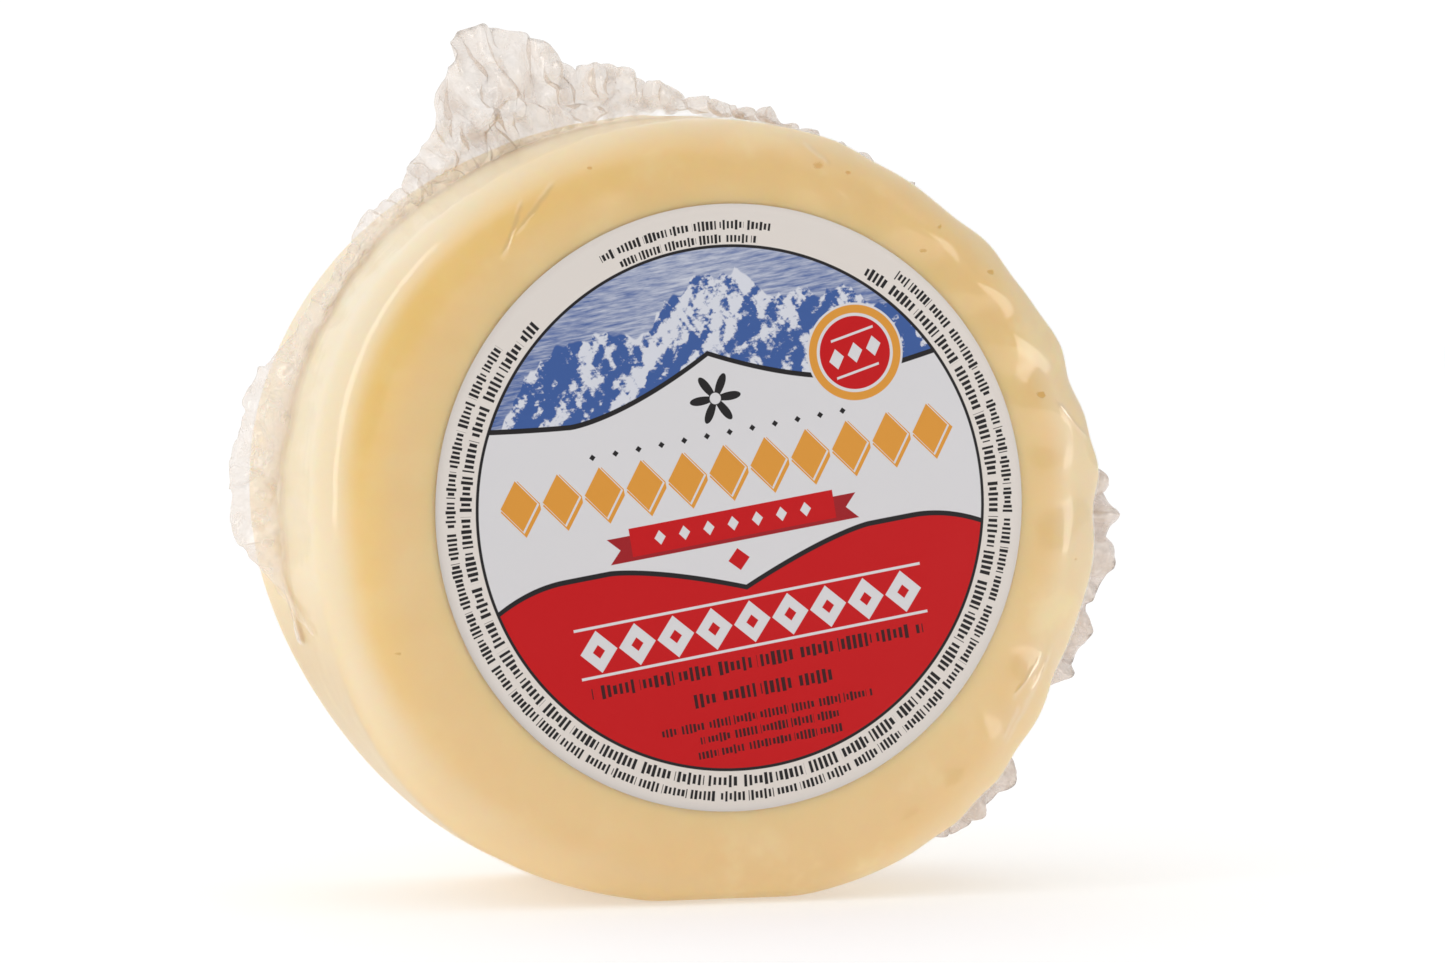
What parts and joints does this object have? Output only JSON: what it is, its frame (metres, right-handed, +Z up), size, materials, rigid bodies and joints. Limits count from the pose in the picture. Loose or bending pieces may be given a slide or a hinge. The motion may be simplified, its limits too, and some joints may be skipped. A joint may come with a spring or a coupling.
{
  "type": "farmer cheese wheel",
  "caption": "Small wheel of pale yellow farmer cheese, sealed in clear film with a crumpled seam round its rim, standing upright with a round paper label on its face.",
  "frame": {"origin": "middle of the small flat under the rim that the wheel rests on", "axes": "+Z up, +Y from the labelled face into the wheel along its axis, +X to the right across the label"},
  "size_m": [0.1789, 0.0622, 0.1668],
  "materials": {
    "cheese": "smooth pale yellow cheese under tight clear film",
    "film": "clear crumpled packing film",
    "label": "satin printed paper"
  },
  "bodies": {
    "root": {"sealed_bag": "cheese", "label": "label"}
  },
  "joints": []
}
